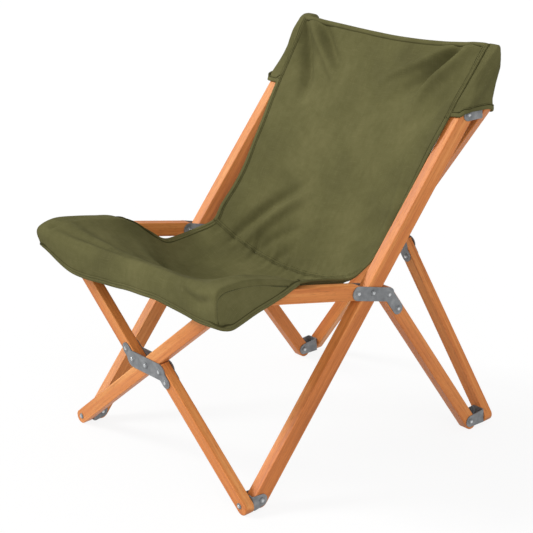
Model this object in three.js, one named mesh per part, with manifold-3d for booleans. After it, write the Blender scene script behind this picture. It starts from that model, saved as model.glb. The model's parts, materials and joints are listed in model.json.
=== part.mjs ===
import * as THREE from 'three';
import { mergeVertices } from 'three/addons/utils/BufferGeometryUtils.js';
import Module from 'manifold-3d';

const wasm = await Module();
wasm.setup();

// Millimetres, Z up. The chair faces -Y and stands open.

// Pin centres of a side frame in its own plane, [y, z] in the open chair
const half_width = 274.5; // middle of the chair to the middle of a side frame
const front_foot = [-293.8, 20];
const rear_foot = [293.8, 18];
const top_pin = [243.9, 704.2];
const seat_pin = [-328.8, 441.6];
const rail_pin = [-48.7, 389];
const leg_top = [34.6, 368.9];
const main_pivot_along = 460.6; // from the front foot pin up the side bar
const leg_rivet_pitch = 44.4;

// Wooden bars
const side_thickness = 26; // side bars, rear legs and seat rails
const side_depth = 35; // side bars
const bar_depth = 30; // all other bars
const cross_thickness = 22;
const eased_edge = 1.4;
const foot_reach = 17.5; // wood past a front foot pin
const rail_reach = 16;
const leg_reach = 21.7;
const cross_reach = 21;
const crown_reach = 134; // side bar past the top pin
const arm_offset = 31; // split arm beside the solid bar
const arm_gap = 24.5; // crossing point to the square end of an arm

// Steel straps, brackets and rivets
const steel = 2;
const shank_radius = 3.6;
const head_radius = 6.6;
const head_height = 2.2;
const clearance = 0.3;
const strap_radius = 14.5;
const strap_tail_radius = 12.5;
const waist_radius = 18; // middle of a Z strap
const arm_rivet_near = 33.5;
const arm_rivet_far = 59.5;
const ear_radius = 13;
const web_height = 30;
const bend_radius = 3.6;
const front_web = 20.4; // seat and front foot pin to the inner face of the web
const back_web = 40;

// Canvas
const canvas = 2.5;
const pocket_floor = 20; // lower rim of a top pocket above the top pin
const seam_gap = 1.2;

// Faceting
const end_facets = 6;
const bend_facets = 3;
const rivet_facets = 12;
const panel_columns = 20;
const panel_rows = 24;

const wood_colour = 0xc47a45;
const steel_colour = 0x868a8d;
const canvas_colour = 0x6b6a42;

const X = new THREE.Vector3(1, 0, 0);
const Y = new THREE.Vector3(0, 1, 0);
const Z = new THREE.Vector3(0, 0, 1);
const end_radius = bar_depth / 2;
const side_shell = side_thickness / 2 + clearance + steel; // outer face of a side strap
const hole_radius = shank_radius + clearance;

// Shares of a size
const dome_shares = [[1, 0], [0.86, 0.6], [0.45, 0.94]];

function solid(geometry) {
  const plain = geometry.clone();
  plain.deleteAttribute('normal');
  plain.deleteAttribute('uv');
  const merged = mergeVertices(plain, clearance / 1000);
  const index = merged.index.array;
  const faces = [];
  for (let i = 0; i < index.length; i += 3) {
    const [a, b, c] = [index[i], index[i + 1], index[i + 2]];
    if (a !== b && b !== c && c !== a) faces.push(a, b, c);
  }
  return new wasm.Manifold(new wasm.Mesh({
    numProp: 3,
    vertProperties: new Float32Array(merged.attributes.position.array),
    triVerts: new Uint32Array(faces),
  }));
}

function union(solids) {
  return solids.reduce((whole, next) => whole.add(next));
}

// Extrudes an outline of the local u-v plane by depth, centred on w = 0
function slab(shape, depth, edge = 0, facets = end_facets) {
  const geometry = new THREE.ExtrudeGeometry(shape, {
    depth: depth - 2 * edge,
    bevelEnabled: edge > 0,
    bevelThickness: edge,
    bevelSize: edge,
    bevelOffset: -edge,
    bevelSegments: 1,
    curveSegments: facets,
  });
  geometry.translate(0, 0, edge - depth / 2);
  return solid(geometry);
}

function moved(body, u, v, w) {
  return body.translate([u, v, w]);
}

function place(body, origin, along, across) {
  const normal = new THREE.Vector3().crossVectors(along, across);
  const frame = new THREE.Matrix4().makeBasis(along, across, normal).setPosition(origin);
  return body.transform(frame.toArray());
}

// A bar from the pin at u = 0 to the pin at u = length
function barOutline(length, depth, reach_start, reach_end, square_end) {
  const half = depth / 2;
  const end = length + reach_end;
  const shape = new THREE.Shape();
  shape.absarc(half - reach_start, 0, half, Math.PI / 2, 3 * Math.PI / 2, false);
  if (square_end) {
    shape.lineTo(end, -half);
    shape.lineTo(end, half);
  } else {
    shape.absarc(end - half, 0, half, -Math.PI / 2, Math.PI / 2, false);
  }
  shape.closePath();
  return shape;
}

function drill(u, v, radius, depth) {
  const outline = new THREE.Shape();
  outline.absarc(0, 0, radius, 0, 2 * Math.PI, false);
  const options = { depth: 2 * depth, bevelEnabled: false, curveSegments: rivet_facets / 2 };
  const plug = new THREE.ExtrudeGeometry(outline, options);
  plug.translate(u, v, -depth);
  return solid(plug);
}

function drilled(body, spots, depth) {
  return spots.reduce((left, [u, v]) => left.subtract(drill(u, v, hole_radius, depth)), body);
}

// A rivet along w with its grip centred on w = 0
function rivet(grip, low_head = true, high_head = true) {
  const half = grip / 2;
  const profile = [];
  const dome = dome_shares.map(([r, h]) => [r * head_radius, half + h * head_height]);
  if (low_head) {
    profile.push([0, -half - head_height], ...dome.map(([r, h]) => [r, -h]).reverse());
    profile.push([shank_radius, -half]);
  } else {
    profile.push([0, -half], [shank_radius, -half]);
  }
  if (high_head) {
    profile.push([shank_radius, half], ...dome, [0, half + head_height]);
  } else {
    profile.push([shank_radius, half], [0, half]);
  }
  const lathe = new THREE.LatheGeometry(profile.map(([r, h]) => new THREE.Vector2(r, h)), rivet_facets);
  lathe.rotateX(Math.PI / 2);
  return solid(lathe);
}

// A domed head standing on w = 0, sunk by a little so that it joins its plate
function head(root) {
  const profile = [[0, -root], [head_radius, -root]];
  profile.push(...dome_shares.map(([r, h]) => [r * head_radius, h * head_height]), [0, head_height]);
  const lathe = new THREE.LatheGeometry(profile.map(([r, h]) => new THREE.Vector2(r, h)), rivet_facets);
  lathe.rotateX(Math.PI / 2);
  return solid(lathe);
}

// Round-ended link between two points of the u-v plane
function link(a, b, radius, depth) {
  const length = Math.hypot(b[0] - a[0], b[1] - a[1]);
  const shape = new THREE.Shape();
  shape.absarc(0, 0, radius, Math.PI / 2, 3 * Math.PI / 2, false);
  shape.absarc(length, 0, radius, -Math.PI / 2, Math.PI / 2, false);
  shape.closePath();
  const turn = Math.atan2(b[1] - a[1], b[0] - a[0]) * 180 / Math.PI;
  return slab(shape, depth).rotate([0, 0, turn]).translate([a[0], a[1], 0]);
}

const chair = new THREE.Group();
chair.name = 'sling_chair';

function add(name, body, colour, roughness, metalness) {
  const mesh = body.getMesh();
  const geometry = new THREE.BufferGeometry();
  geometry.setAttribute('position', new THREE.BufferAttribute(new Float32Array(mesh.vertProperties), 3));
  geometry.setIndex(new THREE.BufferAttribute(new Uint32Array(mesh.triVerts), 1));
  geometry.computeVertexNormals();
  const material = new THREE.MeshStandardMaterial({ color: colour, roughness, metalness });
  const node = new THREE.Mesh(geometry, material);
  node.name = name;
  chair.add(node);
}

const addWood = (name, body) => add(name, body, wood_colour, 0.5, 0);
const addSteel = (name, body) => add(name, body, steel_colour, 0.45, 0.9);
const addCanvas = (name, body) => add(name, body, canvas_colour, 0.9, 0);

// Side frames

const inPlane = ([y, z], x) => new THREE.Vector3(x, y, z);
const between = (a, b) => Math.hypot(b[0] - a[0], b[1] - a[1]);
const toward = (a, b) => new THREE.Vector3(0, b[0] - a[0], b[1] - a[1]).normalize();
const shifted = (a, direction, step) => [a[0] + direction.y * step, a[1] + direction.z * step];

const bar_direction = toward(front_foot, top_pin);
const main_pivot = shifted(front_foot, bar_direction, main_pivot_along);
const leg_direction = toward(leg_top, rear_foot);
const leg_second = shifted(leg_top, leg_direction, leg_rivet_pitch);

// Puts a solid of the local u-v-w space on the line from a, w pointing to +X
function alongSide(body, a, direction, x) {
  return place(body, inPlane(a, x), direction, new THREE.Vector3().crossVectors(X, direction));
}

function sideBar(a, b, depth, reach_a, reach_b, holes, x) {
  const outline = barOutline(between(a, b), depth, reach_a, reach_b, false);
  const blank = slab(outline, side_thickness, eased_edge);
  const bar = drilled(blank, holes.map((u) => [u, 0]), side_thickness);
  return alongSide(bar, a, toward(a, b), x);
}

// Strap outline in the side plane, u along +Y and v along +Z
function sideStrap() {
  const tail = link(leg_top, leg_second, strap_tail_radius, steel);
  return link(rail_pin, leg_top, strap_radius, steel).add(tail);
}

const upright = (body, x) => place(body, new THREE.Vector3(x, 0, 0), Y, Z);

function buildSide(side, x) {
  const outward = Math.sign(x);
  const bar_holes = [0, main_pivot_along, between(front_foot, top_pin)];
  const bar = sideBar(front_foot, top_pin, side_depth, foot_reach, crown_reach, bar_holes, x);
  const leg_holes = [0, leg_rivet_pitch, between(leg_top, rear_foot)];
  const leg = sideBar(leg_top, rear_foot, bar_depth, end_radius, leg_reach, leg_holes, x);
  const rail_holes = [0, between(rail_pin, seat_pin)];
  const rail = sideBar(rail_pin, seat_pin, bar_depth, end_radius, rail_reach, rail_holes, x);
  addWood(`side_bar_${side}`, bar);
  addWood(`rear_leg_${side}`, leg);
  addWood(`seat_rail_${side}`, rail);

  // The outer strap carries the leg's two rivets, which pass through the leg and the inner strap
  const strap_middle = side_thickness / 2 + clearance + steel / 2;
  const outer_face = outward * side_shell;
  const grip = 2 * side_shell + clearance;
  const grip_middle = -outward * clearance / 2;
  const leg_rivets = [leg_top, leg_second].map(([y, z]) => moved(rivet(grip), y, z, grip_middle));
  const to_right = head(steel / 2);
  const to_left = to_right.rotate([180, 0, 0]);
  const [outer_head, inner_head] = outward > 0 ? [to_right, to_left] : [to_left, to_right];
  const blank = moved(sideStrap(), 0, 0, outward * strap_middle);
  const outer = union([drilled(blank, [main_pivot], side_thickness), ...leg_rivets,
    moved(outer_head, rail_pin[0], rail_pin[1], outer_face)]);
  addSteel(`side_strap_${side}_outer`, upright(outer, x));
  const opposite = moved(sideStrap(), 0, 0, -outward * strap_middle);
  const inner = drilled(opposite, [main_pivot, leg_top, leg_second], side_thickness)
    .add(moved(inner_head, rail_pin[0], rail_pin[1], -outer_face));
  addSteel(`side_strap_${side}_inner`, upright(inner, x));

  const pivot = moved(rivet(2 * (side_shell + clearance)), ...main_pivot, 0);
  const shank = moved(rivet(side_thickness, false, false), ...rail_pin, 0);
  addSteel(`main_pivot_${side}`, upright(pivot, x));
  addSteel(`rail_pin_${side}`, upright(shank, x));
}

buildSide('right', half_width);
buildSide('left', -half_width);

// Crossed frames. Local x is +X, local v runs up the plane and local w faces the front.

function crossPlane(bottom, top, offset) {
  const up = toward(bottom, top);
  const facing = new THREE.Vector3().crossVectors(X, up);
  const origin = inPlane(bottom, 0).addScaledVector(facing, offset);
  return { up, origin, height: between(bottom, top), put: (body) => place(body, origin, X, up) };
}

const turned = (body, degrees) => body.rotate([0, 0, degrees]);
const degrees = (radians) => radians * 180 / Math.PI;

// Z strap in the arms' own frame, the upper arm along +u and its offset along +v
function zStrap() {
  const near = [arm_rivet_near, arm_offset];
  const far = [arm_rivet_far, arm_offset];
  const opposite = ([u, v]) => [-u, -v];
  const tail = link(near, far, strap_tail_radius, steel);
  const other_tail = link(opposite(near), opposite(far), strap_tail_radius, steel);
  return union([link(near, opposite(near), waist_radius, steel), tail, other_tail]);
}

function buildCross(place_name, plane, outward) {
  const half_height = plane.height / 2;
  const half_bar = Math.hypot(half_width, half_height);
  const lean = Math.atan2(half_height, half_width);
  const centre = (body) => plane.put(moved(body, 0, half_height, 0));

  const outline = barOutline(2 * half_bar, bar_depth, cross_reach, cross_reach, false);
  const pins = [0, half_bar, 2 * half_bar].map((u) => [u, 0]);
  const solid_bar = drilled(slab(outline, cross_thickness, eased_edge), pins, cross_thickness);
  const leaning = turned(moved(solid_bar, -half_bar, 0, 0), degrees(lean));
  addWood(`${place_name}_bar_solid`, centre(leaning));

  // Both arms lie along one direction, beside the crossing point
  const swing = Math.asin(arm_offset / half_bar);
  const arm_turn = degrees(Math.PI - lean - swing);
  const arm_length = Math.sqrt(half_bar ** 2 - arm_offset ** 2);
  const arm_rivets = [arm_rivet_near, arm_rivet_far];
  const arm_outline = barOutline(arm_length, bar_depth, cross_reach, -arm_gap, true);
  const arm_holes = [0, ...arm_rivets.map((u) => arm_length - u)].map((u) => [u, 0]);
  const arm = drilled(slab(arm_outline, cross_thickness, eased_edge), arm_holes, cross_thickness);
  const upper = turned(arm, 180).translate([arm_length, arm_offset, 0]);
  addWood(`${place_name}_arm_upper`, centre(turned(upper, arm_turn)));
  addWood(`${place_name}_arm_lower`, centre(turned(turned(upper, 180), arm_turn)));

  // The outer strap carries the four arm rivets, and the inner one has their holes
  const shell = cross_thickness / 2 + clearance + steel;
  const middle = outward * (shell - steel / 2);
  const upper_spots = arm_rivets.map((u) => [u, arm_offset]);
  const lower_spots = arm_rivets.map((u) => [-u, -arm_offset]);
  const spots = [...upper_spots, ...lower_spots];
  const grip = 2 * shell + clearance;
  const rivets = spots.map(([u, v]) => moved(rivet(grip), u, v, -outward * clearance / 2));
  const outer = union([drilled(moved(zStrap(), 0, 0, middle), [[0, 0]], cross_thickness), ...rivets]);
  const inner = drilled(moved(zStrap(), 0, 0, -middle), [[0, 0], ...spots], cross_thickness);
  addSteel(`${place_name}_strap_outer`, centre(turned(outer, arm_turn)));
  addSteel(`${place_name}_strap_inner`, centre(turned(inner, arm_turn)));
  addSteel(`${place_name}_cross_pin`, centre(rivet(2 * (shell + clearance))));
}

const web_to_middle = steel + clearance + cross_thickness / 2;
const front_plane = crossPlane(front_foot, seat_pin, front_web + web_to_middle);
const back_plane = crossPlane(rear_foot, top_pin, -back_web - web_to_middle);
buildCross('front', front_plane, 1);
buildCross('back', back_plane, -1);

// Corner brackets. Local u is +X, v runs up the crossed plane and w points away from the side frame.

function bracketBlank(web_distance) {
  const outside = side_shell;
  const tip = -ear_radius;
  const end = web_distance + steel;
  const channel = new THREE.Shape();
  channel.moveTo(-outside, tip);
  channel.lineTo(-outside, web_distance + steel - bend_radius);
  const bend_start = end - bend_radius;
  channel.absarc(-outside + bend_radius, bend_start, bend_radius, Math.PI, Math.PI / 2, true);
  channel.lineTo(outside - bend_radius, end);
  channel.absarc(outside - bend_radius, bend_start, bend_radius, Math.PI / 2, 0, true);
  channel.lineTo(outside, tip);
  const inside = outside - steel;
  const inner_bend = bend_radius - steel;
  channel.lineTo(inside, tip);
  channel.lineTo(inside, bend_start);
  channel.absarc(inside - inner_bend, bend_start, inner_bend, 0, Math.PI / 2, false);
  channel.lineTo(-inside + inner_bend, web_distance);
  channel.absarc(-inside + inner_bend, bend_start, inner_bend, Math.PI / 2, Math.PI, false);
  channel.lineTo(-inside, tip);
  channel.closePath();
  const folded = slab(channel, web_height, 0, bend_facets).rotate([-90, 0, 0]).mirror([0, 0, 1]);

  // Ear outline from the rounded tip to the full height of the web
  const ear = new THREE.Shape();
  ear.absarc(0, 0, ear_radius, -Math.PI / 2, Math.PI / 2, true);
  ear.lineTo(bend_start, web_height / 2);
  ear.lineTo(end, web_height / 2);
  ear.lineTo(end, -web_height / 2);
  ear.lineTo(bend_start, -web_height / 2);
  ear.closePath();
  const cutter = slab(ear, 2 * outside + steel).rotate([0, -90, 0]);
  return folded.intersect(cutter);
}

function buildBracket(name, pin, side_x, up, outward, web_distance, open_web) {
  const across = outward > 0 ? up : up.clone().negate();
  const put = (body) => place(body, inPlane(pin, side_x), X, across);
  const ear_hole = drill(0, 0, hole_radius, 2 * side_thickness).rotate([0, 90, 0]);
  let bracket = bracketBlank(web_distance).subtract(ear_hole);
  const web_end = web_distance + steel;
  if (open_web) {
    bracket = bracket.add(moved(head(steel / 2).rotate([180, 0, 0]), 0, 0, web_distance));
  } else {
    bracket = bracket.subtract(moved(drill(0, 0, hole_radius, steel), 0, 0, web_end));
  }
  addSteel(`bracket_${name}`, put(bracket));
  addSteel(`ear_pin_${name}`, put(rivet(2 * (side_shell + clearance)).rotate([0, 90, 0])));
  const near = open_web ? web_end + clearance : web_distance - clearance;
  const far = web_end + clearance + cross_thickness + clearance;
  const face_pin = moved(rivet(far - near, !open_web, true), 0, 0, (near + far) / 2);
  addSteel(`face_pin_${name}`, put(face_pin));
}

for (const [side, x] of [['right', half_width], ['left', -half_width]]) {
  buildBracket(`front_foot_${side}`, front_foot, x, front_plane.up, 1, front_web, false);
  buildBracket(`seat_${side}`, seat_pin, x, front_plane.up, 1, front_web, false);
  buildBracket(`top_${side}`, top_pin, x, back_plane.up, -1, back_web, side === 'left');
  buildBracket(`rear_foot_${side}`, rear_foot, x, back_plane.up, -1, back_web, true);
}

// Canvas sling

// A sheet of even thickness over a grid of surface points
function sheet(pointAt, columns, rows) {
  const at = (i, j) => pointAt(2 * i / columns - 1, j / rows);
  const top = [];
  const under = [];
  for (let j = 0; j <= rows; j += 1) {
    for (let i = 0; i <= columns; i += 1) {
      const here = at(i, j);
      const du = at(Math.min(i + 1, columns), j).sub(at(Math.max(i - 1, 0), j));
      const dv = at(i, Math.min(j + 1, rows)).sub(at(i, Math.max(j - 1, 0)));
      const normal = du.cross(dv).normalize().multiplyScalar(canvas / 2);
      top.push(here.clone().add(normal));
      under.push(here.clone().sub(normal));
    }
  }
  const stride = columns + 1;
  const layer = top.length;
  const faces = [];
  const quad = (a, b, c, d) => faces.push(a, b, c, a, c, d);
  for (let j = 0; j < rows; j += 1) {
    for (let i = 0; i < columns; i += 1) {
      const a = j * stride + i;
      quad(a, a + 1, a + stride + 1, a + stride);
      quad(layer + a, layer + a + stride, layer + a + stride + 1, layer + a + 1);
    }
  }
  const wall = (a, b) => quad(a, layer + a, layer + b, b);
  for (let i = 0; i < columns; i += 1) {
    wall(i, i + 1);
    wall(rows * stride + i + 1, rows * stride + i);
  }
  for (let j = 0; j < rows; j += 1) {
    wall((j + 1) * stride, j * stride);
    wall(j * stride + columns, (j + 1) * stride + columns);
  }
  const geometry = new THREE.BufferGeometry();
  const points = [...top, ...under].flatMap((p) => [p.x, p.y, p.z]);
  geometry.setAttribute('position', new THREE.BufferAttribute(new Float32Array(points), 3));
  geometry.setIndex(faces);
  return solid(geometry);
}

const bar_normal = new THREE.Vector3().crossVectors(X, bar_direction);
const curve = (points) => new THREE.CatmullRomCurve3(points, false, 'centripetal');

// Point beside the side bar: along it from the top pin, and out from it to the front
function fromBar(x, along, out) {
  const spot = inPlane(top_pin, x).addScaledVector(bar_direction, along);
  return spot.addScaledVector(bar_normal, out);
}

// Point beside the seat pin
function fromSeat(x, y, z) {
  return inPlane(seat_pin, x).add(new THREE.Vector3(0, y, z));
}

// Back panel edge [past the middle of the side frame, along, out] and middle [along, out], from the
// top hem down to the seam. Beside the pockets it lies on their front.
const over_pocket = side_depth / 2 + 4 * clearance + canvas + canvas / 2;
const back_edge = [
  [13.5, crown_reach + 7, over_pocket + 4.7],
  [15.8, crown_reach - 14, over_pocket + 1.2],
  [15.8, 60, over_pocket],
  [15.8, 0, over_pocket],
  [13.5, -60, over_pocket],
  [-4.5, -120, over_pocket],
  [-31.5, -185, 17],
  [-41.5, -260, 9],
  [-43.5, -347, 8],
  [-49.5, -397, 12.7],
];
const back_middle = [
  [crown_reach - 5, 22],
  [crown_reach - 22, 18],
  [56, 11],
  [0, 4],
  [-60, -3],
  [-120, -9],
  [-185, -16],
  [-260, -24],
  [-347, -34],
  [-417, -46],
];

// Seat panel edge [past the middle of the side frame, y and z from the seat pin] and middle
// [y and z from the seat pin], from below the seam to the lower hem of the front apron
const seat_edge = [
  [-36.5, 258.8, -55.6],
  [-27.5, 200.8, -54.6],
  [-20.5, 163.8, -33.6],
  [-16, 142.8, -7.6],
  [-2.5, 121.8, 4.4],
  [19, 92.8, 13.4],
  [19.7, 38.8, 22.4],
  [19.7, -16.2, 28.4],
  [19.7, -59.2, 25.4],
  [19.7, -74.2, 10.4],
  [19.1, -75.2, -21.6],
  [16.5, -68.2, -52.6],
];
const seat_middle = [
  [273.8, -114.6],
  [213.8, -111.6],
  [158.8, -97.6],
  [123.8, -84.6],
  [93.8, -69.6],
  [63.8, -50.6],
  [28.8, -27.6],
  [-11.2, -1.6],
  [-45.2, 9.4],
  [-61.2, 0.4],
  [-67.2, -28.6],
  [-63.2, -55.6],
];
const sag_power = 2.2;
const over_bar = half_width - side_thickness / 2 - 2 * canvas; // beside a bar and its pocket

function panel(edge, middle) {
  return sheet((u, v) => {
    const outer = edge.getPoint(v);
    const inner = middle.getPoint(v);
    const x = Math.abs(u) * outer.x;
    const rise = Math.min(1, x / Math.min(outer.x, over_bar)) ** sag_power;
    const y = THREE.MathUtils.lerp(inner.y, outer.y, rise);
    const z = THREE.MathUtils.lerp(inner.z, outer.z, rise);
    return new THREE.Vector3(u * outer.x, y, z);
  }, panel_columns, panel_rows);
}

const back_sides = back_edge.map(([x, along, out]) => fromBar(half_width + x, along, out));
const back_centre = back_middle.map(([along, out]) => fromBar(0, along, out));
const belowSeam = (points) => points[points.length - 1].clone().addScaledVector(Y, -seam_gap);
const seat_sides = [belowSeam(back_sides)];
seat_sides.push(...seat_edge.map(([x, y, z]) => fromSeat(half_width + x, y, z)));
const seat_centre = [belowSeam(back_centre)];
seat_centre.push(...seat_middle.map(([y, z]) => fromSeat(0, y, z)));
addCanvas('sling_back', panel(curve(back_sides), curve(back_centre)));
addCanvas('sling_seat', panel(curve(seat_sides), curve(seat_centre)));

// Top pocket: a sleeve over the end of the side bar, with its lower rim level with the back frame
function topPocket(x) {
  const inner_depth = side_depth + 2 * clearance;
  const inner_width = side_thickness + 2 * clearance;
  const start = between(front_foot, top_pin) - 2 * side_depth;
  const end = between(front_foot, top_pin) + crown_reach + clearance;
  const box = (width, depth, reach) => {
    const block = slab(sleeveOutline(start, reach, depth), width);
    return alongSide(block, front_foot, bar_direction, x);
  };
  const outside = box(inner_width + 2 * canvas, inner_depth + 2 * canvas, end + canvas);
  const sleeve = outside.subtract(box(inner_width, inner_depth, end));
  const rim = inPlane(top_pin, 0).addScaledVector(back_plane.up, pocket_floor);
  return sleeve.trimByPlane(back_plane.up.toArray(), rim.dot(back_plane.up));
}

function sleeveOutline(start, end, depth) {
  const corner = depth / 2;
  const shape = new THREE.Shape();
  shape.moveTo(start, -corner);
  shape.lineTo(end - corner, -corner);
  shape.absarc(end - corner, 0, corner, -Math.PI / 2, Math.PI / 2, false);
  shape.lineTo(start, corner);
  shape.closePath();
  return shape;
}

// Seat pocket: the patch outside the rail's front end, [y and z from the seat pin] around its rim
const patch_rim = [
  [124.8, -0.6],
  [92.8, 10.4],
  [38.8, 19.4],
  [-16.2, 25.4],
  [-59.2, 23.4],
  [-73.2, 10.4],
  [-75.2, -21.6],
  [-69.2, -47.6],
  [-48.2, -51.6],
  [-16.2, -39.6],
  [46.8, -27.6],
  [96.8, -14.6],
];

function seatPatch(x) {
  const rim = new THREE.Shape();
  rim.setFromPoints(patch_rim.map(([y, z]) => new THREE.Vector2(seat_pin[0] + y, seat_pin[1] + z)));
  const half_bar = Math.hypot(half_width, front_plane.height / 2);
  const end_sweep = (cross_reach - end_radius) * half_width / half_bar;
  const outside = half_width + end_radius + end_sweep + clearance;
  const patch = slab(rim, canvas, canvas / 4);
  return upright(moved(patch, 0, 0, Math.sign(x) * (outside + canvas / 2)), 0);
}

for (const [side, x] of [['right', half_width], ['left', -half_width]]) {
  addCanvas(`pocket_top_${side}`, topPocket(x));
  addCanvas(`pocket_seat_${side}`, seatPatch(x));
}

// Stand the chair on the floor, over the middle of its own outline
const bounds = new THREE.Box3().setFromObject(chair);
const middle = bounds.getCenter(new THREE.Vector3());
for (const node of chair.children) node.geometry.translate(-middle.x, -middle.y, -bounds.min.z);

export default chair;
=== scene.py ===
import json
import math

import bmesh
import bpy
import numpy as np
from mathutils import Matrix, Vector

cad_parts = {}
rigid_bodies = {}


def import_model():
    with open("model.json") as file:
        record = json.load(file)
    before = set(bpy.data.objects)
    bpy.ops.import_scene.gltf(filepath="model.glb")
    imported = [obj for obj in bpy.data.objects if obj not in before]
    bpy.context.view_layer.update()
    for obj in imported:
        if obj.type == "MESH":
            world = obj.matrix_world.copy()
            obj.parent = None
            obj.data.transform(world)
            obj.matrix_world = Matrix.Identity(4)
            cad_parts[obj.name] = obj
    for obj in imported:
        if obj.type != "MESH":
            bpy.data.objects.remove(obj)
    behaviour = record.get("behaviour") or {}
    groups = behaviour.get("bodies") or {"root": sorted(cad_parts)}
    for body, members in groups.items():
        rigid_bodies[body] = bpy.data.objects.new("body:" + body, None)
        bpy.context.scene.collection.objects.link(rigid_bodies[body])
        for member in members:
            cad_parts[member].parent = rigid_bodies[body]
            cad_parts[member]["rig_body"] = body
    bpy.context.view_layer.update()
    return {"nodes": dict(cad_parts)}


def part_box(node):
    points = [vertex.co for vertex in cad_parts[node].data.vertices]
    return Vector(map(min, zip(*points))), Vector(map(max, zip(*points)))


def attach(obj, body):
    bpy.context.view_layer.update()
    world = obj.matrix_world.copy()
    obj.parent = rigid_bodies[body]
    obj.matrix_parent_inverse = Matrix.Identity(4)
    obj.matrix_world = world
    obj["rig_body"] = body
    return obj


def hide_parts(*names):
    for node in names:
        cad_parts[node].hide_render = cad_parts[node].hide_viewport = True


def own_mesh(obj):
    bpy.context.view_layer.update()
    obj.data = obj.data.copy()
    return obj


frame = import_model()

nodes = frame["nodes"]
scene = bpy.context.scene
sides = {"right": 1, "left": -1}

# Metres, Z up. The chair faces -Y.

# Places that the sling is measured from, named as in the source. Foot and pin are [y, z] before the chair is
# stood on the floor.
half_width = 0.2745
front_foot = np.array([-0.2938, 0.0200])
top_pin = np.array([0.2439, 0.7042])
main_pivot_along = 0.4606

bar_direction = (top_pin - front_foot) / np.linalg.norm(top_pin - front_foot)
bar_out = np.array([-bar_direction[1], bar_direction[0]])
pivot_low, pivot_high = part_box("main_pivot_right")
stand = np.array([pivot_low.y + pivot_high.y, pivot_low.z + pivot_high.z]) / 2
stand -= front_foot + bar_direction * main_pivot_along


def on_floor(points):
    """Points of the sling's tables, moved to where the chair stands."""
    points = np.array(points, float)
    points[..., 1:] += stand
    return points


def by_bar(x, along, out):
    """A point beside the side bar: along it from the top pin, and out from it to the front."""
    y, z = top_pin + bar_direction * along + bar_out * out
    return [x, y, z]


# Camera, where the photograph was taken from

camera_place = Vector((2.3658, -2.01387 + stand[0], 1.40577 + stand[1]))
camera_right = Vector((0.639615, 0.768693, 0.001984))
camera_up = Vector((-0.246472, 0.202639, 0.947728))
focal_pixels = 1547
photo_pixels = 533

camera_data = bpy.data.cameras.new("camera")
camera_data.sensor_width = 36
camera_data.lens = camera_data.sensor_width * focal_pixels / photo_pixels
camera = bpy.data.objects.new("camera", camera_data)
camera_back = camera_right.cross(camera_up)
turn = Matrix((camera_right, camera_up, camera_back)).transposed()
camera.matrix_world = Matrix.Translation(camera_place) @ turn.to_4x4()
scene.collection.objects.link(camera)
scene.camera = camera


# Shader building


class Shader:
    """A node tree of a material or a world, built with one call per node."""

    def __init__(self, name, kind="materials"):
        self.owner = getattr(bpy.data, kind).new(name)
        self.owner.use_nodes = True
        self.tree = self.owner.node_tree
        self.tree.nodes.clear()

    def add(self, kind, inputs=None, **settings):
        made = self.tree.nodes.new("ShaderNode" + kind)
        for key, value in settings.items():
            setattr(made, key, value)
        for key, value in (inputs or {}).items():
            if isinstance(value, bpy.types.NodeSocket):
                self.tree.links.new(value, made.inputs[key])
            else:
                made.inputs[key].default_value = value
        return made

    def math(self, operation, a, b=0.0):
        return self.add("Math", {0: a, 1: b}, operation=operation).outputs[0]

    def sum(self, a, a_share, b, b_share):
        return self.math("ADD", self.math("MULTIPLY", a, a_share), self.math("MULTIPLY", b, b_share))

    def vector_math(self, operation, a, b):
        made = self.add("VectorMath", {0: a, 1: tuple(b)}, operation=operation)
        return made.outputs["Value" if operation == "DOT_PRODUCT" else "Vector"]

    def span(self, value, low, high, to_low=0.0, to_high=1.0):
        return self.add("MapRange", {0: value, 1: low, 2: high, 3: to_low, 4: to_high}).outputs[0]

    def noise(self, vector, scale, detail, distortion=0.0):
        inputs = {"Vector": vector, "Scale": scale, "Detail": detail, "Distortion": distortion}
        return self.add("TexNoise", inputs).outputs["Fac"]

    def streaks(self, vector, sizes, detail, distortion=0.0):
        return self.noise(self.vector_math("MULTIPLY", vector, sizes), 1.0, detail, distortion)

    def mix(self, share, a, b):
        return self.add("Mix", {0: share, 6: a, 7: b}, data_type="RGBA").outputs[2]

    def tint(self, colour, value, low, high, share, text):
        """Mixes in a written colour where the value is high."""
        return self.mix(self.span(value, low, high, 0.0, share), colour, rgb(text))

    def ramp(self, value, stops):
        made = self.add("ValToRGB", {"Fac": value})
        elements = made.color_ramp.elements
        while len(elements) < len(stops):
            elements.new(0.5)
        for element, (place, colour) in zip(elements, stops):
            element.position = place
            element.color = colour
        return made.outputs["Color"]

    def bump(self, height, strength, distance):
        inputs = {"Height": height, "Strength": strength, "Distance": distance}
        return self.add("Bump", inputs).outputs["Normal"]

    def finish(self, surface, output="OutputMaterial"):
        self.add(output, {"Surface": surface})
        return self.owner

    def principled(self, inputs):
        return self.finish(self.add("BsdfPrincipled", inputs).outputs[0])


def rgb(text):
    """A linear colour from a written sRGB one."""
    shares = [int(text[i:i + 2], 16) / 255 for i in (0, 2, 4)]
    linear = [s / 12.92 if s <= 0.04045 else ((s + 0.055) / 1.055) ** 2.4 for s in shares]
    return (*linear, 1.0)


# Studio

round_light = 0.54  # strength of the light that comes from all round
shown_light = 1.0  # strength of the background where the camera sees it
floor_glow = 0.88
floor_reach = 20.0


def sun(name, direction, strength, spread):
    data = bpy.data.lights.new(name, "SUN")
    data.energy = strength
    data.angle = math.radians(spread)
    lamp = bpy.data.objects.new(name, data)
    lamp.rotation_mode = "QUATERNION"
    lamp.rotation_quaternion = Vector(direction).to_track_quat("Z", "Y")
    scene.collection.objects.link(lamp)


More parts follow.
